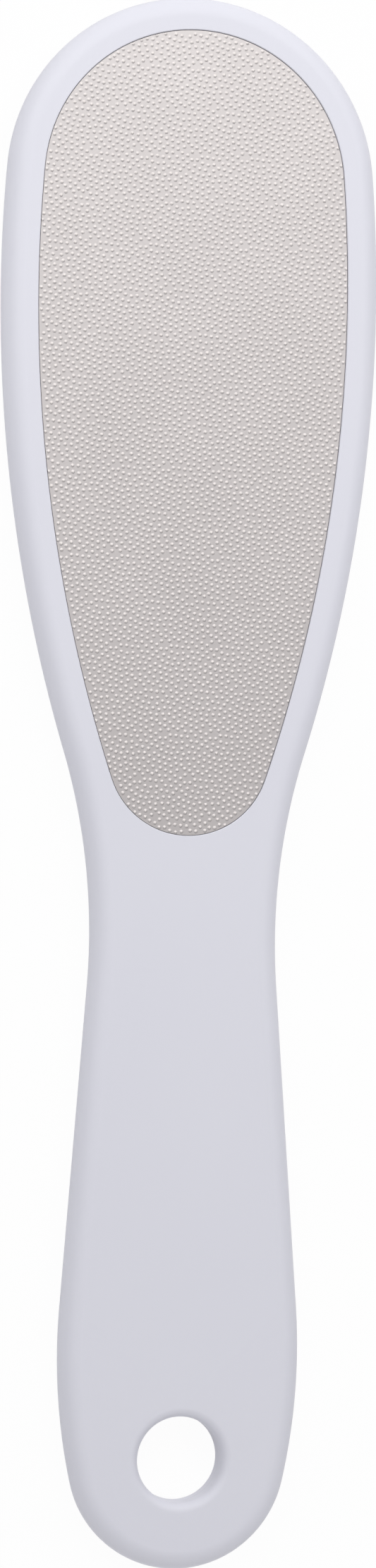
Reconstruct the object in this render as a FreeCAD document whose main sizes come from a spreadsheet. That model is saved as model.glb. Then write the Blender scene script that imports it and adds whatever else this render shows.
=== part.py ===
import FreeCAD, Part
import math
import os
import Sketcher
from FreeCAD import Vector

# Paddle foot file: one moulded paddle with a broad head, a waisted neck and a handle that widens to a
# rounded end with a hang hole. An etched metal file plate is bonded into a shallow pocket on each side of
# the head, coarse in front and fine behind.
#
# Frame, in millimetres: X across, Y along the paddle with the head towards +Y, Z up through its thickness.
# The origin is at mid-length, on the underside.

doc = FreeCAD.newDocument("FootFile")

# Driving dimensions

dims = doc.addObject("Spreadsheet::Sheet", "Dims")

DRIVING_DIMENSIONS = [
    ("overall_length", 260.0, "tip of the head to end of the handle"),
    ("thickness", 7.0, "paddle, face to face"),
    ("head_width", 63.5, "widest across the head"),
    ("tip_radius", 31.0, "round tip of the head"),
    ("side_radius", 255.0, "long swell of the head's sides"),
    ("neck_width", 31.3, "narrowest, between head and handle"),
    ("neck_radius", 104.0, "hollow of the neck"),
    ("handle_width", 40.5, "widest across the handle"),
    ("heel_radius", 98.0, "turn from the handle's taper to its end"),
    ("end_radius", 18.3, "round end of the handle"),
    ("edge_radius", 3.3, "rounding of the outer edge, which leaves a narrow parting land"),
    ("rim_width", 5.6, "bare rim between outer edge and pocket"),
    ("pocket_end_radius", 13.7, "round lower end of the pocket"),
    ("lip_bevel", 0.12, "broken edge round the pocket's mouth"),
    ("set_down", 0.2, "plate's face below the rim, so that the teeth end level with it"),
    ("plate_thickness", 0.45, "etched sheet without its teeth"),
    ("plate_gap", 0.08, "gap all round the plate"),
    ("adhesive_thickness", 0.15, "double-sided adhesive sheet"),
    ("adhesive_inset", 1.0, "adhesive's edge inside the pocket's wall"),
    ("hang_hole_diameter", 14.2, "hole through the handle's end"),
    ("hang_hole_rim", 1.6, "rounding of the hole's two rims"),
]
for row, (alias, value, note) in enumerate(DRIVING_DIMENSIONS, start=1):
    dims.set(f"A{row}", alias.replace("_", " "))
    dims.set(f"B{row}", str(value))
    dims.setAlias(f"B{row}", alias)
    dims.set(f"C{row}", note)
doc.recompute()

POCKET_DEPTH = "(Dims.set_down + Dims.plate_thickness + Dims.adhesive_thickness)"

START, END, CENTRE = 1, 2, 3
ORIGIN_POINT = (-1, 1)
Y_AXIS = -2
TOLERANCE = 1e-6


# Sketching helpers

def new_sketch(body, name, height="0"):
    """Sketch on the body's XY plane, lifted to a height given as an expression."""
    sketch = body.newObject("Sketcher::SketchObject", name)
    plane = next(f for f in body.Origin.OriginFeatures if f.Role == "XY_Plane")
    sketch.AttachmentSupport = [(plane, "")]
    sketch.MapMode = "FlatFace"
    sketch.setExpression("AttachmentOffset.Base.z", height)
    return sketch


def value_of(expression):
    """Number that an expression of sheet cells has now."""
    return float(dims.evalExpression(expression))


def size(sketch, name, expression, kind, *where):
    """Add a driving constraint and bind it to the sheet."""
    index = sketch.addConstraint(Sketcher.Constraint(kind, *where, value_of(expression)))
    sketch.renameConstraint(index, name)
    sketch.setExpression(f"Constraints.{name}", expression)


def arc(centre, radius, first, last):
    """Arc about a centre, anticlockwise from the direction of one point to that of another."""
    angles = [math.atan2(p.y - centre.y, p.x - centre.x) for p in (first, last)]
    return Part.ArcOfCircle(Part.Circle(centre, Vector(0, 0, 1), radius), *angles)


def towards(centre, other, distance):
    """Point at a distance from a centre, in the direction of another point."""
    return centre + (other - centre).normalize() * distance


def mirrored(point):
    return Vector(-point.x, point.y, point.z)


def arc_pair(sketch, centre, radius, first, last):
    """Arc of the right-hand side and its mirror image, which runs from its last point to its first."""
    right = sketch.addGeometry(arc(centre, radius, first, last))
    left = sketch.addGeometry(arc(mirrored(centre), radius, mirrored(last), mirrored(first)))
    sketch.addConstraint(Sketcher.Constraint("Equal", right, left))
    return right, left


def head_centres():
    """Centres of the head's tip arc and of its right-hand side arc, which touches the tip arc inside."""
    tip = Vector(0, dims.overall_length / 2 - dims.tip_radius, 0)
    across = dims.head_width / 2 - dims.side_radius
    along = math.sqrt((dims.side_radius - dims.tip_radius) ** 2 - across ** 2)
    return tip, Vector(across, tip.y - along, 0)


def handle_centres(side):
    """Centres of the right-hand neck and heel arcs and of the handle's end arc."""
    across = dims.neck_width / 2 + dims.neck_radius
    along = math.sqrt((dims.side_radius + dims.neck_radius) ** 2 - (across - side.x) ** 2)
    neck = Vector(across, side.y - along, 0)
    end = Vector(0, dims.end_radius - dims.overall_length / 2, 0)
    inwards = dims.handle_width / 2 - dims.heel_radius
    rise = math.sqrt((dims.heel_radius - dims.end_radius) ** 2 - inwards ** 2)
    return neck, Vector(inwards, end.y + rise, 0), end


def taper_ends(neck, heel):
    """Ends of the straight taper that touches the hollow neck arc and the round heel arc."""
    run = heel - neck
    turn = math.acos(-(dims.neck_radius + dims.heel_radius) / run.Length)
    facing = math.atan2(run.y, run.x) + turn
    outwards = Vector(math.cos(facing), math.sin(facing), 0)
    return neck - outwards * dims.neck_radius, heel + outwards * dims.heel_radius


def join_tangent(sketch, chain):
    """Join each piece's last point to the next one's first point, tangent, round a closed outline."""
    for (piece, _, last), (following, first, _) in zip(chain, chain[1:] + chain[:1]):
        sketch.addConstraint(Sketcher.Constraint("Tangent", piece, last, following, first))


def paddle_outline(sketch):
    """Whole outline of the paddle: ten arcs and lines, tangent all round and alike on both sides."""
    tip, side = head_centres()
    neck, heel, end = handle_centres(side)
    tip_side = towards(side, tip, dims.side_radius)
    side_neck = towards(side, neck, dims.side_radius)
    neck_taper, taper_heel = taper_ends(neck, heel)
    heel_end = towards(heel, end, dims.heel_radius)

    tip_arc = sketch.addGeometry(arc(tip, dims.tip_radius, tip_side, mirrored(tip_side)))
    end_arc = sketch.addGeometry(arc(end, dims.end_radius, mirrored(heel_end), heel_end))
    right_side, left_side = arc_pair(sketch, side, dims.side_radius, side_neck, tip_side)
    right_neck, left_neck = arc_pair(sketch, neck, dims.neck_radius, side_neck, neck_taper)
    right_heel, left_heel = arc_pair(sketch, heel, dims.heel_radius, heel_end, taper_heel)
    right_taper = sketch.addGeometry(Part.LineSegment(taper_heel, neck_taper))
    left_taper = sketch.addGeometry(Part.LineSegment(mirrored(neck_taper), mirrored(taper_heel)))

    join_tangent(sketch, [
        (tip_arc, START, END),
        (left_side, START, END),
        (left_neck, END, START),
        (left_taper, START, END),
        (left_heel, START, END),
        (end_arc, START, END),
        (right_heel, START, END),
        (right_taper, START, END),
        (right_neck, END, START),
        (right_side, START, END),
    ])
    for right, left in ((right_side, left_side), (right_neck, left_neck), (right_heel, left_heel)):
        sketch.addConstraint(Sketcher.Constraint("Horizontal", right, CENTRE, left, CENTRE))
    for middle in (tip_arc, end_arc):
        sketch.addConstraint(Sketcher.Constraint("PointOnObject", middle, CENTRE, Y_AXIS))

    size(sketch, "tip_radius", "Dims.tip_radius", "Radius", tip_arc)
    size(sketch, "side_radius", "Dims.side_radius", "Radius", right_side)
    size(sketch, "neck_radius", "Dims.neck_radius", "Radius", right_neck)
    size(sketch, "heel_radius", "Dims.heel_radius", "Radius", right_heel)
    size(sketch, "end_radius", "Dims.end_radius", "Radius", end_arc)
    size(sketch, "tip_reach", "Dims.overall_length / 2 - Dims.tip_radius",
         "DistanceY", *ORIGIN_POINT, tip_arc, CENTRE)
    size(sketch, "end_reach", "Dims.overall_length / 2 - Dims.end_radius",
         "DistanceY", end_arc, CENTRE, *ORIGIN_POINT)
    size(sketch, "head_half", "Dims.side_radius - Dims.head_width / 2",
         "DistanceX", right_side, CENTRE, *ORIGIN_POINT)
    size(sketch, "neck_half", "Dims.neck_radius + Dims.neck_width / 2",
         "DistanceX", *ORIGIN_POINT, right_neck, CENTRE)
    size(sketch, "handle_half", "Dims.heel_radius - Dims.handle_width / 2",
         "DistanceX", right_heel, CENTRE, *ORIGIN_POINT)


def head_inset_outline(sketch, inset):
    """Egg-shaped outline that runs beside the head's edge, a given inset inside the pocket's wall."""
    tip, side = head_centres()
    tip_radius = value_of(f"Dims.tip_radius - Dims.rim_width - {inset}")
    side_radius = value_of(f"Dims.side_radius - Dims.rim_width - {inset}")
    end_radius = value_of(f"Dims.pocket_end_radius - {inset}")
    drop = math.sqrt((side_radius - end_radius) ** 2 - side.x ** 2)
    end = Vector(0, side.y - drop, 0)
    tip_side = towards(side, tip, side_radius)
    side_end = towards(side, end, side_radius)

    tip_arc = sketch.addGeometry(arc(tip, tip_radius, tip_side, mirrored(tip_side)))
    end_arc = sketch.addGeometry(arc(end, end_radius, mirrored(side_end), side_end))
    right_side, left_side = arc_pair(sketch, side, side_radius, side_end, tip_side)

    join_tangent(sketch, [(piece, START, END) for piece in (tip_arc, left_side, end_arc, right_side)])
    for middle in (tip_arc, end_arc):
        sketch.addConstraint(Sketcher.Constraint("PointOnObject", middle, CENTRE, Y_AXIS))

    size(sketch, "tip_radius", f"Dims.tip_radius - Dims.rim_width - {inset}", "Radius", tip_arc)
    size(sketch, "side_radius", f"Dims.side_radius - Dims.rim_width - {inset}", "Radius", right_side)
    size(sketch, "end_radius", f"Dims.pocket_end_radius - {inset}", "Radius", end_arc)
    size(sketch, "tip_reach", "Dims.overall_length / 2 - Dims.tip_radius",
         "DistanceY", *ORIGIN_POINT, tip_arc, CENTRE)
    size(sketch, "side_half", "Dims.side_radius - Dims.head_width / 2",
         "DistanceX", right_side, CENTRE, *ORIGIN_POINT)


# Feature helpers

def add_feature(body, kind, name, sketch, length=None):
    """Pad or pocket of a sketch, with its length bound to the sheet."""
    feature = body.newObject(kind, name)
    feature.Profile = sketch
    if length:
        feature.setExpression("Length", length)
    return feature


def lies_in_a_face(edge):
    """Whether an edge lies flat in the paddle's front or back face."""
    box = edge.BoundBox
    return any(max(abs(box.ZMin - z), abs(box.ZMax - z)) < TOLERANCE for z in (0, dims.thickness))


def is_arc_of(edge, radii):
    return isinstance(edge.Curve, Part.Circle) and any(abs(edge.Curve.Radius - r) < TOLERANCE for r in radii)


def dress_edges(body, kind, name, base, extent, expression, arc_radii=None):
    """Fillet or chamfer on the base's edges in both faces: all of them, or the arcs of the given radii."""
    doc.recompute()
    names = []
    for number, edge in enumerate(base.Shape.Edges, start=1):
        if lies_in_a_face(edge) and (arc_radii is None or is_arc_of(edge, arc_radii)):
            names.append(f"Edge{number}")
    feature = body.newObject(kind, name)
    feature.Base = (base, names)
    feature.setExpression(extent, expression)
    return feature


def new_body(name):
    body = doc.addObject("PartDesign::Body", name)
    body.Label = name
    return body


# Paddle: one moulding with a fully rounded edge, a pocket in each face and a hang hole

paddle = new_body("paddle_body")

outline = new_sketch(paddle, "paddle_outline")
paddle_outline(outline)
slab = add_feature(paddle, "PartDesign::Pad", "paddle_slab", outline, "Dims.thickness")
rounded = dress_edges(paddle, "PartDesign::Fillet", "rounded_edge", slab, "Radius", "Dims.edge_radius")

front_sketch = new_sketch(paddle, "front_pocket_outline", "Dims.thickness")
head_inset_outline(front_sketch, "0")
front_pocket = add_feature(paddle, "PartDesign::Pocket", "front_pocket", front_sketch, POCKET_DEPTH)
back_sketch = new_sketch(paddle, "back_pocket_outline")
head_inset_outline(back_sketch, "0")
back_pocket = add_feature(paddle, "PartDesign::Pocket", "back_pocket", back_sketch, POCKET_DEPTH)
back_pocket.Reversed = True

pocket_radii = (dims.tip_radius - dims.rim_width, dims.side_radius - dims.rim_width, dims.pocket_end_radius)
lips = dress_edges(paddle, "PartDesign::Chamfer", "pocket_lips", back_pocket,
                   "Size", "Dims.lip_bevel", pocket_radii)

hole_sketch = new_sketch(paddle, "hang_hole_outline", "Dims.thickness")
hole_centre = Vector(0, dims.end_radius - dims.overall_length / 2, 0)
hole = hole_sketch.addGeometry(Part.Circle(hole_centre, Vector(0, 0, 1), dims.hang_hole_diameter / 2))
hole_sketch.addConstraint(Sketcher.Constraint("PointOnObject", hole, CENTRE, Y_AXIS))
size(hole_sketch, "hole_diameter", "Dims.hang_hole_diameter", "Diameter", hole)
size(hole_sketch, "hole_reach", "Dims.overall_length / 2 - Dims.end_radius",
     "DistanceY", hole, CENTRE, *ORIGIN_POINT)
hang_hole = add_feature(paddle, "PartDesign::Pocket", "hang_hole", hole_sketch)
hang_hole.Type = "ThroughAll"
dress_edges(paddle, "PartDesign::Fillet", "hang_hole_rims", hang_hole,
            "Radius", "Dims.hang_hole_rim", [dims.hang_hole_diameter / 2])


# File plates and the adhesive sheets that hold them

def sheet(name, inset, thickness, height):
    """Flat sheet that fills the pocket's outline, less an inset, placed at a height."""
    body = new_body(name)
    sketch = new_sketch(body, f"{name}_outline")
    head_inset_outline(sketch, inset)
    add_feature(body, "PartDesign::Pad", f"{name}_sheet", sketch, thickness)
    body.setExpression("Placement.Base.z", height)
    return body


coarse_plate = sheet("coarse_file_plate", "Dims.plate_gap", "Dims.plate_thickness",
                     "Dims.thickness - Dims.set_down - Dims.plate_thickness")
coarse_adhesive = sheet("coarse_plate_adhesive", "Dims.adhesive_inset", "Dims.adhesive_thickness",
                        f"Dims.thickness - {POCKET_DEPTH}")
fine_plate = sheet("fine_file_plate", "Dims.plate_gap", "Dims.plate_thickness", "Dims.set_down")
fine_adhesive = sheet("fine_plate_adhesive", "Dims.adhesive_inset", "Dims.adhesive_thickness",
                      "Dims.set_down + Dims.plate_thickness")

# Checks before anything is written

doc.recompute()
sub_parts = (paddle, coarse_plate, coarse_adhesive, fine_plate, fine_adhesive)

failed = [o.Name for o in doc.Objects if "Invalid" in o.State or "Error" in o.State]
if failed:
    raise RuntimeError(f"features that did not build: {failed}")
loose = [o.Name for o in doc.Objects if o.TypeId == "Sketcher::SketchObject" and not o.FullyConstrained]
if loose:
    raise RuntimeError(f"sketches that are not fully constrained: {loose}")
for before, after in ((rounded, front_pocket), (front_pocket, back_pocket), (lips, hang_hole)):
    if after.Shape.Volume > before.Shape.Volume - 1:
        raise RuntimeError(f"{after.Name} cut nothing")
for sub_part in sub_parts:
    shape = sub_part.Shape
    if shape.isNull() or not shape.isValid() or len(shape.Solids) != 1:
        raise RuntimeError(f"{sub_part.Label} is not one valid solid")

os.makedirs("parts", exist_ok=True)
for sub_part in sub_parts:
    sub_part.Shape.exportStep(f"parts/{sub_part.Label}.step")
    box = sub_part.Shape.optimalBoundingBox()
    print(f"{sub_part.Label}: {box.XLength:.2f} x {box.YLength:.2f} x {box.ZLength:.2f} mm, "
          f"from z {box.ZMin:.2f}, {sub_part.Shape.Volume / 1000:.2f} cm3")
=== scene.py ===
import math

import bmesh
import bpy
import numpy as np
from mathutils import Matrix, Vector


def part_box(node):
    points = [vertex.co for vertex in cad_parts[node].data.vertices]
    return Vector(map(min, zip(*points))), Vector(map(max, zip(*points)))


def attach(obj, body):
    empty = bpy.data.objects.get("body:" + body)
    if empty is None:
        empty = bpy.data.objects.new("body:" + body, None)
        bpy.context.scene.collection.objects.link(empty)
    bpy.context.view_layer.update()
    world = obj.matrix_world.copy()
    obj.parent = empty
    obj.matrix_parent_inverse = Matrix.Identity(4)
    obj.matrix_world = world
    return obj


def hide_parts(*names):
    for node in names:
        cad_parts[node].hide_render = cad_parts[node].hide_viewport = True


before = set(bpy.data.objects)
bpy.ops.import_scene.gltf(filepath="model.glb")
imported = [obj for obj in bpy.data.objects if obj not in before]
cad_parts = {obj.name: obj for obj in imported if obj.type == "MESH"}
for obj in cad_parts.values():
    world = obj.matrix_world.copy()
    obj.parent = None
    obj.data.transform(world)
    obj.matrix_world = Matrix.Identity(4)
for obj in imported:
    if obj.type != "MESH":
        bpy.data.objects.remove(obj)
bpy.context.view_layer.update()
bpy.ops.object.select_all(action="DESELECT")


# Paddle
# One injection moulding in white ABS: a broad head, a waisted neck and a handle that widens to a hang hole.
# The two mould halves meet half-way up its fully rounded edge, and each side of the head has a shallow pocket
# whose lip is lightly bevelled.

paddle_low, paddle_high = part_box("paddle_body")
tip_radius = 0.0310
side_radius = 0.2550
neck_width = 0.0313
neck_radius = 0.1040
handle_width = 0.0405
heel_radius = 0.0980
end_radius = 0.0183
edge_radius = 0.0033
edge_segments = 14
round_profile = 0.5
crease_angle = 30
rim_width = 0.0056
pocket_end_radius = 0.0137
lip_bevel = 0.00012
front_pocket_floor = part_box("coarse_plate_adhesive")[0].z
back_pocket_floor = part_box("fine_plate_adhesive")[1].z
hang_hole_radius = 0.0071
hang_hole_rim = 0.0016
hang_hole_steps = 96
hang_hole_rim_steps = 8
outline_step = 0.0010
same_place = 1e-6
quad_corners = 4

tip_centre = Vector((0, paddle_high.y - tip_radius))
side_x = paddle_high.x - side_radius
side_drop = math.sqrt((side_radius - tip_radius) ** 2 - side_x ** 2)
side_centre = Vector((side_x, tip_centre.y - side_drop))
neck_x = neck_width / 2 + neck_radius
neck_drop = math.sqrt((side_radius + neck_radius) ** 2 - (neck_x - side_x) ** 2)
neck_centre = Vector((neck_x, side_centre.y - neck_drop))
end_centre = Vector((0, paddle_low.y + end_radius))
heel_x = handle_width / 2 - heel_radius
heel_rise = math.sqrt((heel_radius - end_radius) ** 2 - heel_x ** 2)
heel_centre = Vector((heel_x, end_centre.y + heel_rise))
pocket_end_drop = math.sqrt((side_radius - rim_width - pocket_end_radius) ** 2 - side_x ** 2)
pocket_end_centre = Vector((0, side_centre.y - pocket_end_drop))


def bearing(start, finish):
    """The direction from one point of the plan to another, as an angle from +X."""
    return math.atan2(finish.y - start.y, finish.x - start.x)


def outline(right_arcs):
    """The points of a closed outline, from the arcs of its right half, tip first, and their mirror image."""
    right = []
    for centre, radius, first, last in right_arcs:
        steps = math.ceil(radius * abs(last - first) / outline_step)
        for angle in np.linspace(first, last, steps + 1):
            right.append(centre + radius * Vector((math.cos(angle), math.sin(angle))))
    left = [Vector((-point.x, point.y)) for point in reversed(right)]
    return right + left


def head_outline(inset):
    """The outline of the head, set in from the paddle's edge and closed by an arc above the neck."""
    head_turn = bearing(side_centre, tip_centre)
    throat_turn = bearing(side_centre, pocket_end_centre)
    return outline([
        (tip_centre, tip_radius - inset, math.pi / 2, head_turn),
        (side_centre, side_radius - inset, head_turn, throat_turn),
        (pocket_end_centre, pocket_end_radius + rim_width - inset, throat_turn, -math.pi / 2),
    ])


def paddle_outline():
    """The outline of the whole paddle: tip, side, neck, straight taper, heel and rounded end."""
    head_turn = bearing(side_centre, tip_centre)
    neck_turn = bearing(side_centre, neck_centre)
    end_turn = bearing(heel_centre, end_centre)
    taper_lean = math.acos((neck_radius + heel_radius) / (neck_centre - heel_centre).length)
    taper_facing = bearing(heel_centre, neck_centre) - taper_lean
    return outline([
        (tip_centre, tip_radius, math.pi / 2, head_turn),
        (side_centre, side_radius, head_turn, neck_turn),
        (neck_centre, neck_radius, math.pi + neck_turn, math.pi + taper_facing),
        (heel_centre, heel_radius, taper_facing, end_turn),
        (end_centre, end_radius, end_turn, -math.pi / 2),
    ])


def start_piece(name):
    """A new, empty piece at the origin, opened in edit mode."""
    bpy.ops.object.select_all(action="DESELECT")
    piece = bpy.data.objects.new(name, bpy.data.meshes.new(name))
    bpy.context.collection.objects.link(piece)
    bpy.context.view_layer.objects.active = piece
    piece.select_set(True)
    bpy.ops.object.mode_set(mode="EDIT")
    bpy.ops.mesh.select_mode(type="EDGE")
    return piece


def draw_line(points, closed):
    """Draws a line of edges through points in the piece being edited, and leaves only it selected."""
    bpy.ops.mesh.select_all(action="DESELECT")
    mesh = bpy.context.edit_object.data
    shape = bmesh.from_edit_mesh(mesh)
    corners = [shape.verts.new(point) for point in points]
    following = corners[1:] + corners[:1] if closed else corners[1:]
    for pair in zip(corners, following):
        shape.edges.new(pair).select_set(True)
    bmesh.update_edit_mesh(mesh)
    bpy.ops.mesh.remove_doubles(threshold=same_place)


def draw_loop(points, height):
    """Draws a closed outline at a height."""
    draw_line([(x, y, height) for x, y in points], closed=True)


def lies_at(edge, height):
    """Whether an edge lies level at a height."""
    return all(abs(corner.co.z - height) < same_place for corner in edge.verts)


def select_edges(wanted):
    """Selects the edges that pass a test in the piece being edited."""
    bpy.ops.mesh.select_all(action="DESELECT")
    mesh = bpy.context.edit_object.data
    for edge in bmesh.from_edit_mesh(mesh).edges:
        if wanted(edge):
            edge.select_set(True)
    bmesh.update_edit_mesh(mesh)


def select_open_edges(*heights):
    """Selects the edges at some heights that still lack a face on one side or both."""
    select_edges(lambda edge: len(edge.link_faces) < 2 and any(lies_at(edge, height) for height in heights))


def finish_piece(piece):
    """Merges what meets, turns the faces outwards and shades the piece smooth between its creases."""
    bpy.ops.mesh.select_all(action="SELECT")
    bpy.ops.mesh.remove_doubles(threshold=same_place)
    bpy.ops.mesh.normals_make_consistent(inside=False)
    bpy.ops.object.mode_set(mode="OBJECT")
    bpy.ops.object.shade_smooth_by_angle(angle=math.radians(crease_angle))
    weighted = piece.modifiers.new("flat_faces_lead", "WEIGHTED_NORMAL")
    weighted.keep_sharp = True
    bpy.ops.object.modifier_apply(modifier=weighted.name)


paddle = start_piece("moulded_paddle")

for face, floor in ((paddle_high.z, front_pocket_floor), (paddle_low.z, back_pocket_floor)):
    lip_foot = face + math.copysign(lip_bevel, floor - face)
    draw_loop(head_outline(rim_width), floor)
    bpy.ops.mesh.edge_face_add()
    draw_loop(head_outline(rim_width), lip_foot)
    select_open_edges(floor, lip_foot)
    bpy.ops.mesh.bridge_edge_loops()
    draw_loop(head_outline(rim_width - lip_bevel), face)
    select_open_edges(lip_foot, face)
    bpy.ops.mesh.bridge_edge_loops()

upper_rim = []
for turn in np.linspace(0, math.pi / 2, hang_hole_rim_steps + 1):
    reach = hang_hole_radius + hang_hole_rim * (1 - math.sin(turn))
    drop = hang_hole_rim * (1 - math.cos(turn))
    upper_rim.append(Vector((reach, end_centre.y, paddle_high.z - drop)))
lower_rim = [Vector((p.x, p.y, paddle_low.z + paddle_high.z - p.z)) for p in reversed(upper_rim)]
draw_line(upper_rim + lower_rim, closed=False)
bpy.ops.mesh.spin(
    steps=hang_hole_steps, angle=2 * math.pi, center=(end_centre.x, end_centre.y, 0), axis=(0, 0, 1))

draw_loop(paddle_outline(), paddle_low.z)
bpy.ops.mesh.edge_face_add()
bpy.ops.mesh.extrude_region_move(TRANSFORM_OT_translate={"value": (0, 0, paddle_high.z - paddle_low.z)})
select_edges(lambda edge: len(edge.link_faces) == 2 and any(
    lies_at(edge, face) for face in (paddle_low.z, paddle_high.z)))
bpy.ops.mesh.bevel(offset=edge_radius, segments=edge_segments, profile=round_profile)

# The plain faces of front and back go, and are filled again round the pocket's mouth and the hang hole.
bpy.ops.mesh.select_all(action="DESELECT")
pocket_floors = (front_pocket_floor, back_pocket_floor)
for plain_face in bmesh.from_edit_mesh(paddle.data).faces:
    face_height = plain_face.calc_center_median().z
    is_pocket_floor = any(abs(face_height - floor) < same_place for floor in pocket_floors)
    plain_face.select_set(len(plain_face.verts) > quad_corners and not is_pocket_floor)
bpy.ops.mesh.delete(type="ONLY_FACE")
for face in (paddle_low.z, paddle_high.z):
    select_open_edges(face)
    bpy.ops.mesh.fill(use_beauty=True)
finish_piece(paddle)


def linear(hex_colour):
    """The linear colour of an sRGB hex value."""
    parts = [int(hex_colour[at:at + 2], 16) / 255 for at in (0, 2, 4)]
    return [part / 12.92 if part <= 0.04045 else ((part + 0.055) / 1.055) ** 2.4 for part in parts] + [1]


def add_node(tree, kind, inputs=None, **settings):
    """Adds a node with its settings. Each input gets a value, or a link from another node's output."""
    node = tree.nodes.new("ShaderNode" + kind)
    for name, value in settings.items():
        setattr(node, name, value)
    for socket, value in (inputs or {}).items():
        if isinstance(value, bpy.types.NodeSocket):
            tree.links.new(value, node.inputs[socket])
        else:
            node.inputs[socket].default_value = value
    return node


def start_material(name):
    """A new, empty material and its node tree."""
    material = bpy.data.materials.new(name)
    material.use_nodes = True
    material.node_tree.nodes.clear()
    return material, material.node_tree


# Injection-moulded white ABS from a finely spark-eroded mould: a cool white with a soft, low sheen. The grain
# of such a mould is about 0.1 mm and too fine to show, so it is drawn 0.5 mm wide.
abs_shade = "DDDDE5"
abs_light = "E0E0E7"
abs_ior = 1.54
abs_roughness = (0.46, 0.58)
grain_width = 0.0005
grain_depth = 0.00005
grain_strength = 0.12
flow_width = 0.030
parting_line_width = 0.00012
parting_line_shade = "D2D2DB"
# The colour sockets of a Mix node go by number, because its other sockets have the same names.
mix_first, mix_second, mix_result = 6, 7, 2
white_abs, tree = start_material("white_abs_moulded_fine_matte")
place = add_node(tree, "TexCoord").outputs["Object"]
grain = add_node(tree, "TexNoise", {"Vector": place, "Scale": 1 / grain_width, "Detail": 2.0})
flow = add_node(tree, "TexNoise", {"Vector": place, "Scale": 1 / flow_width, "Detail": 1.0})
height = add_node(tree, "SeparateXYZ", {"Vector": place}).outputs["Z"]
off_line = add_node(tree, "Math", {0: height, 1: (paddle_low.z + paddle_high.z) / 2}, operation="SUBTRACT")
off_line = add_node(tree, "Math", {0: off_line.outputs["Value"]}, operation="ABSOLUTE")
line = add_node(tree, "MapRange", {
    "Value": off_line.outputs["Value"], "From Min": 0.0, "From Max": parting_line_width,
    "To Min": 1.0, "To Max": 0.0}, interpolation_type="SMOOTHSTEP")
tint = add_node(tree, "Mix", {
    "Factor": flow.outputs["Fac"], mix_first: linear(abs_shade), mix_second: linear(abs_light)},
    data_type="RGBA")
tint = add_node(tree, "Mix", {
    "Factor": line.outputs["Result"], mix_first: tint.outputs[mix_result],
    mix_second: linear(parting_line_shade)}, data_type="RGBA")
gloss = add_node(tree, "MapRange", {
    "Value": grain.outputs["Fac"], "To Min": abs_roughness[0], "To Max": abs_roughness[1]})
relief = add_node(tree, "Math", {
    0: grain.outputs["Fac"], 1: line.outputs["Result"]}, operation="ADD")
bump = add_node(tree, "Bump", {
    "Height": relief.outputs["Value"], "Strength": grain_strength, "Distance": grain_depth})
surface = add_node(tree, "BsdfPrincipled", {
    "Base Color": tint.outputs[mix_result], "Roughness": gloss.outputs["Result"], "IOR": abs_ior,
    "Normal": bump.outputs["Normal"]})
add_node(tree, "OutputMaterial", {"Surface": surface.outputs["BSDF"]})

paddle.data.materials.append(white_abs)
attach(paddle, "root")
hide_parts("paddle_body")


# Adhesive films
# A die-cut sheet of double-sided acrylic film lies on the floor of each pocket and holds the plate there for
# good. Only its cut edge could ever be seen, deep in the gap round the plate.

# Acrylic adhesive film: milky, slightly yellow, with a dull mottle where it has wetted the plastic.
film_shade = "E3DFD2"
film_light = "EFEDE6"
film_ior = 1.48
film_roughness = (0.55, 0.75)
mottle_width = 0.004
adhesive, tree = start_material("acrylic_adhesive_film_milky")
place = add_node(tree, "TexCoord").outputs["Object"]
mottle = add_node(tree, "TexNoise", {"Vector": place, "Scale": 1 / mottle_width, "Detail": 3.0})
tint = add_node(tree, "Mix", {
    "Factor": mottle.outputs["Fac"], mix_first: linear(film_shade), mix_second: linear(film_light)},
    data_type="RGBA")
gloss = add_node(tree, "MapRange", {
    "Value": mottle.outputs["Fac"], "To Min": film_roughness[0], "To Max": film_roughness[1]})
surface = add_node(tree, "BsdfPrincipled", {
    "Base Color": tint.outputs[mix_result], "Roughness": gloss.outputs["Result"], "IOR": film_ior})
add_node(tree, "OutputMaterial", {"Surface": surface.outputs["BSDF"]})
for node in ("coarse_plate_adhesive", "fine_plate_adhesive"):
    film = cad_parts[node]
    film.data.materials.clear()
    film.data.materials.append(adhesive)


# Coarse plate
# Stainless sheet, photo-etched from one face so that low, domed teeth stand on a satin ground, then cut to
# the pocket's outline and bonded in at the front. The etching mask repeats one rhombic cell of 64
# scattered teeth, and the cut goes through the teeth that lie on it.

plate_edge_bevel = 0.00001
tooth_clearance = 0.00012
tooth_sink = 0.00001
tooth_size_spread = 0.04
tooth_crease_angle = 60
facing_up = 0.99
teeth_across_cell = 8
cells_each_way = 16
mask_rounds = 8
mask_reach = 1.04
mask_push = 0.25


def plate_outline(node, inset):
    """The outline of a plate, set in from its cut edge."""
    return np.array(head_outline(paddle_high.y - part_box(node)[1].y + inset))


def cut_plate(name, node):
    """The plain sheet in the place of a CAD plate, with its cut edges just broken."""
    low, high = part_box(node)
    plate = start_piece(name)
    draw_loop(plate_outline(node, inset=0), low.z)
    bpy.ops.mesh.edge_face_add()
    bpy.ops.mesh.extrude_region_move(TRANSFORM_OT_translate={"value": (0, 0, high.z - low.z)})
    select_edges(lambda edge: lies_at(edge, low.z) or lies_at(edge, high.z))
    bpy.ops.mesh.bevel(offset=plate_edge_bevel, segments=1)
    finish_piece(plate)
    return plate


def inside_outline(spots, edge):
    """Which of the spots lie inside a closed outline."""
    inside = np.zeros(len(spots), bool)
    for (x0, y0), (x1, y1) in zip(edge, np.roll(edge, -1, axis=0)):
        if y0 != y1:
            crosses = (spots[:, 1] < y0) != (spots[:, 1] < y1)
            inside ^= crosses & (spots[:, 0] < x0 + (spots[:, 1] - y0) * (x1 - x0) / (y1 - y0))
    return inside


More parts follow.
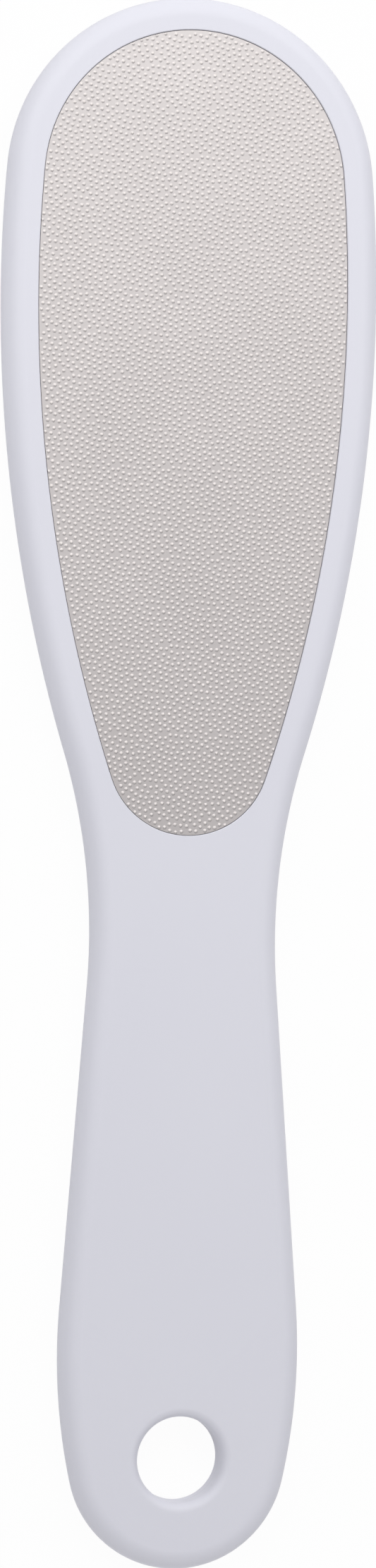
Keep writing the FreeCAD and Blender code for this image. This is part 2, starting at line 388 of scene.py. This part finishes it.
def pull_inside(spots, edge):
    """The spots, with those past a closed outline moved back to the nearest point of it."""
    past = ~inside_outline(spots, edge)
    strays = spots[past][:, None]
    sides = np.roll(edge, -1, axis=0) - edge
    lengths = np.maximum(np.linalg.norm(sides, axis=1), same_place)
    shares = np.clip(((strays - edge) * sides).sum(2) / lengths ** 2, 0, 1)
    nearest = edge + shares[..., None] * sides
    closest = np.linalg.norm(strays - nearest, axis=2).argmin(1)
    pulled = spots.copy()
    pulled[past] = nearest[np.arange(len(closest)), closest]
    return pulled


def scatter_teeth(node, pitch, seed):
    """Tooth centres on a plate: one cell of the mask, pushed apart from random places, repeated and cut."""
    cell = pitch * teeth_across_cell * np.array([[1, 0], [math.cos(math.pi / 3), math.sin(math.pi / 3)]])
    steps = np.arange(teeth_across_cell)
    spots = np.stack(np.meshgrid(steps, steps), -1).reshape(-1, 2)
    spots = (spots + np.random.default_rng(seed).random(spots.shape)) / teeth_across_cell
    for _ in range(mask_rounds):
        apart = spots[:, None] - spots
        apart = (apart - np.round(apart)) @ cell
        distance = np.linalg.norm(apart, axis=2)
        np.fill_diagonal(distance, np.inf)
        shove = np.maximum(mask_reach * pitch - distance, 0) / distance
        spots += mask_push * (apart * shove[..., None]).sum(1) @ np.linalg.inv(cell)
    repeats = np.arange(-cells_each_way, cells_each_way + 1)
    repeats = np.stack(np.meshgrid(repeats, repeats), -1).reshape(-1, 1, 2)
    spots = ((spots + repeats) @ cell).reshape(-1, 2) + (0, side_centre.y)
    return spots[inside_outline(spots, plate_outline(node, tooth_clearance))]


def model_tooth(sides, foot_radius, shoulder_radius, shoulder_height, brow_width=0, brow_rise=0, crown=0):
    """One tooth on the origin, sunk a little into the sheet: a round frustum, with or without a domed top."""
    bpy.ops.object.select_all(action="DESELECT")
    bpy.ops.mesh.primitive_cone_add(
        vertices=sides, radius1=foot_radius, radius2=shoulder_radius, depth=shoulder_height + tooth_sink,
        location=(0, 0, (shoulder_height - tooth_sink) / 2))
    bpy.ops.object.transform_apply(location=True)
    tooth = bpy.context.object
    if crown:
        bpy.ops.object.mode_set(mode="EDIT")
        bpy.ops.mesh.select_mode(type="FACE")
        bpy.ops.mesh.select_all(action="DESELECT")
        for side in bmesh.from_edit_mesh(tooth.data).faces:
            side.select_set(side.normal.z > facing_up)
        bpy.ops.mesh.inset(thickness=brow_width, depth=brow_rise)
        bpy.ops.mesh.poke(offset=crown)
        bpy.ops.object.mode_set(mode="OBJECT")
    return tooth


def etch_teeth(plate, tooth, spots, edge, face, outward, seed):
    """Copies the tooth to every spot on a plate's face, a little turned and sized, and cut at the edge."""
    rng = np.random.default_rng(seed)
    turns = rng.random((len(spots), 1)) * 2 * math.pi
    sizes = 1 + tooth_size_spread * rng.uniform(-1, 1, (len(spots), 1))
    corners = np.array([corner.co for corner in tooth.data.vertices])
    x = spots[:, :1] + sizes * (np.cos(turns) * corners[:, 0] - np.sin(turns) * corners[:, 1])
    y = spots[:, 1:] + sizes * (np.sin(turns) * corners[:, 0] + np.cos(turns) * corners[:, 1])
    z = np.broadcast_to(face + outward * corners[:, 2], x.shape)
    plan = pull_inside(np.stack([x, y], -1).reshape(-1, 2), edge)
    places = np.column_stack([plan, z.ravel()])
    sides = [list(side.vertices)[::outward] for side in tooth.data.polygons]
    firsts = range(0, len(places), len(corners))
    faces = [[first + at for at in side] for first in firsts for side in sides]
    field = bpy.data.meshes.new(plate.name + "_teeth")
    field.from_pydata(places.tolist(), [], faces)
    teeth = bpy.data.objects.new(field.name, field)
    bpy.context.collection.objects.link(teeth)
    bpy.ops.object.select_all(action="DESELECT")
    teeth.select_set(True)
    bpy.context.view_layer.objects.active = teeth
    bpy.ops.object.shade_smooth_by_angle(angle=math.radians(tooth_crease_angle))
    plate.select_set(True)
    bpy.context.view_layer.objects.active = plate
    bpy.ops.object.join()
    bpy.data.objects.remove(tooth)


coarse_pitch = 0.00106
coarse_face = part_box("coarse_file_plate")[1].z
coarse_sides = 6
coarse_foot_radius = 0.00040
coarse_shoulder_radius = 0.00022
coarse_brow_width = 0.00011
coarse_height = 0.00012
coarse_shoulder_share = 0.33
coarse_crown_share = 0.17
coarse_shoulder = coarse_shoulder_share * coarse_height
coarse_crown = coarse_crown_share * coarse_height
coarse_plate = cut_plate("coarse_etched_plate", "coarse_file_plate")
coarse_tooth = model_tooth(
    coarse_sides, coarse_foot_radius, coarse_shoulder_radius, coarse_shoulder, coarse_brow_width,
    brow_rise=coarse_height - coarse_shoulder - coarse_crown, crown=coarse_crown)
coarse_spots = scatter_teeth("coarse_file_plate", coarse_pitch, seed=493)
coarse_edge = plate_outline("coarse_file_plate", plate_edge_bevel)
etch_teeth(coarse_plate, coarse_tooth, coarse_spots, coarse_edge, coarse_face, outward=1, seed=11)


# Photo-etched stainless: a warm grey satin ground with frosted teeth, softly bright on the side towards the
# light and dark on the other. The teeth are painted lighter towards their tips, partly their own bare finish
# and partly a painted highlight. The pits of such a ground are about 0.05 mm and too fine to show, so they
# are drawn 0.3 mm wide.
def etched_stainless(name, face, tip):
    """The material of one plate, from the height of its ground to the height of its tooth tips."""
    ground_shade = "C4BFBD"
    ground_light = "CBC6C4"
    ground_roughness = 0.51
    # Tip colour: the teeth's own lighter bare finish, and partly a painted highlight.
    tip_tone_and_painted_highlight = "EDE8E4"
    tip_roughness = 0.71
    pit_width = 0.00030
    pit_depth = 0.00002
    pit_strength = 0.25
    sheen_width = 0.012
    material, tree = start_material(name)
    place = add_node(tree, "TexCoord").outputs["Object"]
    height = add_node(tree, "SeparateXYZ", {"Vector": place}).outputs["Z"]
    rise = add_node(tree, "MapRange", {
        "Value": height, "From Min": face, "From Max": tip}, interpolation_type="SMOOTHSTEP")
    pits = add_node(tree, "TexNoise", {"Vector": place, "Scale": 1 / pit_width, "Detail": 2.0})
    sheen = add_node(tree, "TexNoise", {"Vector": place, "Scale": 1 / sheen_width, "Detail": 2.0})
    ground = add_node(tree, "Mix", {
        "Factor": sheen.outputs["Fac"], mix_first: linear(ground_shade), mix_second: linear(ground_light)},
        data_type="RGBA")
    # Painted highlight, in part: the colour lightens from the ground towards the tooth tips.
    tint = add_node(tree, "Mix", {
        "Factor": rise.outputs["Result"], mix_first: ground.outputs[mix_result],
        mix_second: linear(tip_tone_and_painted_highlight)}, data_type="RGBA")
    gloss = add_node(tree, "MapRange", {
        "Value": rise.outputs["Result"], "To Min": ground_roughness, "To Max": tip_roughness})
    bump = add_node(tree, "Bump", {
        "Height": pits.outputs["Fac"], "Strength": pit_strength, "Distance": pit_depth})
    surface = add_node(tree, "BsdfPrincipled", {
        "Base Color": tint.outputs[mix_result], "Metallic": 1.0, "Roughness": gloss.outputs["Result"],
        "Normal": bump.outputs["Normal"]})
    add_node(tree, "OutputMaterial", {"Surface": surface.outputs["BSDF"]})
    return material


coarse_plate.data.materials.append(
    etched_stainless("stainless_photo_etched_coarse", coarse_face, coarse_face + coarse_height))
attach(coarse_plate, "root")
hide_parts("coarse_file_plate")


# Fine plate
# The same sheet, etched through a closer mask and less deeply, so that its teeth are smaller and flat-topped.
# It is bonded into the back pocket and finishes the skin that the coarse side has worked.

fine_pitch = 0.00076
fine_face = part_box("fine_file_plate")[0].z
fine_sides = 5
fine_foot_radius = 0.00024
fine_top_radius = 0.00010
fine_height = 0.00010
fine_plate = cut_plate("fine_etched_plate", "fine_file_plate")
fine_tooth = model_tooth(fine_sides, fine_foot_radius, fine_top_radius, fine_height)
fine_spots = scatter_teeth("fine_file_plate", fine_pitch, seed=2442)
fine_edge = plate_outline("fine_file_plate", plate_edge_bevel)
etch_teeth(fine_plate, fine_tooth, fine_spots, fine_edge, fine_face, outward=-1, seed=13)
fine_plate.data.materials.append(
    etched_stainless("stainless_photo_etched_fine", fine_face, fine_face - fine_height))
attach(fine_plate, "root")
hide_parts("fine_file_plate")


# Studio
# A wide white floor under the file and pale air all round. Most of the light comes from a wide soft lamp
# high beyond the head. Weaker ones stand lower there, overhead and beyond the foot.

floor_radius = 7.0
floor_sides = 128
floor_drop = 0.0001
bpy.ops.object.select_all(action="DESELECT")
bpy.ops.mesh.primitive_circle_add(
    vertices=floor_sides, radius=floor_radius, fill_type="NGON", location=(0, 0, -floor_drop))
bpy.ops.object.transform_apply(location=True)
floor = bpy.context.object
floor.name = "studio_floor"

# White painted floor: it shows white to the camera and to metal that mirrors it, and takes a soft shadow.
shown_white = 0.96
floor_paint = "ECECEC"
white_floor, tree = start_material("white_painted_floor")
seen = add_node(tree, "LightPath")
shown = add_node(tree, "Math", {
    0: seen.outputs["Is Camera Ray"], 1: seen.outputs["Is Glossy Ray"]}, operation="ADD")
shown = add_node(tree, "Math", {
    0: shown.outputs["Value"], 1: seen.outputs["Is Transmission Ray"]}, operation="ADD", use_clamp=True)
share = add_node(tree, "Math", {0: shown.outputs["Value"], 1: shown_white}, operation="MULTIPLY")
paint = add_node(tree, "BsdfDiffuse", {"Color": linear(floor_paint)})
glow = add_node(tree, "Emission", {"Color": (1, 1, 1, 1), "Strength": 1.0})
painted = add_node(tree, "MixShader", {
    0: share.outputs["Value"], 1: paint.outputs["BSDF"], 2: glow.outputs["Emission"]})
add_node(tree, "OutputMaterial", {"Surface": painted.outputs["Shader"]})
floor.data.materials.append(white_floor)

air_colour = "F4F4FC"
air_strength = 0.26
world = bpy.data.worlds.new("studio_air")
bpy.context.scene.world = world
world.use_nodes = True
air = world.node_tree.nodes["Background"]
air.inputs["Color"].default_value = linear(air_colour)
air.inputs["Strength"].default_value = air_strength


def add_softbox(name, place, aim, width, depth, watts):
    """A soft rectangular lamp at a place, turned to an aim."""
    bpy.ops.object.light_add(type="AREA", location=place)
    lamp = bpy.context.object
    lamp.name = name
    lamp.rotation_euler = (Vector(aim) - Vector(place)).to_track_quat("-Z", "Y").to_euler()
    lamp.data.shape = "RECTANGLE"
    lamp.data.size = width
    lamp.data.size_y = depth
    lamp.data.energy = watts
    lamp.visible_camera = False


add_softbox("high_softbox", place=(0, 0.41, 0.61), aim=(0, 0.03, 0), width=1.77, depth=0.41, watts=5.0)
add_softbox("head_softbox", place=(0, 0.58, 0.375), aim=(0, 0, 0), width=1.90, depth=0.41, watts=1.9)
add_softbox("top_softbox", place=(0, 0, 1.10), aim=(0, 0, 0), width=2.00, depth=0.80, watts=2.2)
add_softbox("foot_softbox", place=(0, -0.80, 0.20), aim=(0, -0.05, 0), width=1.60, depth=0.35, watts=2.4)


# Camera
# A long lens high above the file and a little to its left, so that the hang hole's right wall shows. It is
# square to the file's length but for a slight roll.

view_target = Vector((0.00066, -0.00005, 0.0035))
view_distance = 0.815
view_lean = math.radians(12.8)
view_roll = 0.01166
focal_pixels = 6977.4
frame_height_pixels = 2224
sensor_side = 36.0

bpy.ops.object.camera_add()
camera = bpy.context.object
camera.location = view_target + view_distance * Vector((-math.sin(view_lean), 0, math.cos(view_lean)))
camera.rotation_mode = "ZYX"
camera.rotation_euler = (0, -view_lean, view_roll)
camera.data.sensor_width = sensor_side
camera.data.lens = focal_pixels * sensor_side / frame_height_pixels
bpy.context.scene.camera = camera
bpy.context.scene.view_settings.view_transform = "Standard"
